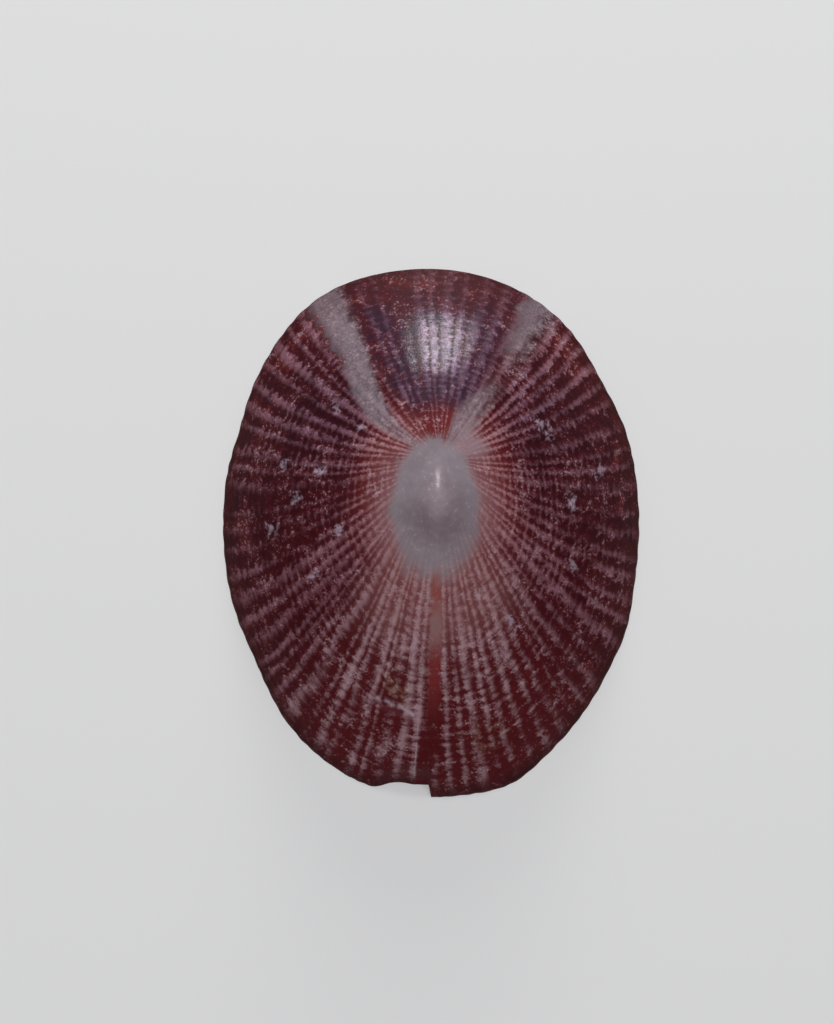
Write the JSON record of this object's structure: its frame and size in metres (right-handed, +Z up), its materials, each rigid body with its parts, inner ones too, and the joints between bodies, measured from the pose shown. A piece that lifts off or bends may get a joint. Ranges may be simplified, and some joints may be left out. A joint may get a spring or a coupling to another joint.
{
  "type": "limpet shell",
  "caption": "Small ribbed limpet shell, an oval cap with a smooth peak set towards the front, hollow below and resting flat on its rim.",
  "frame": {"origin": "under the middle of the shell, in the plane of the rim that it rests on", "axes": "+Z up through the shell, +Y towards the front, the end nearer the peak, +X to the right seen from above"},
  "size_m": [0.0048, 0.006, 0.0016],
  "materials": {
    "shell": "satin maroon shell with pale ribs and a grey-white peak"
  },
  "bodies": {
    "root": {"shell": "shell"}
  },
  "joints": []
}
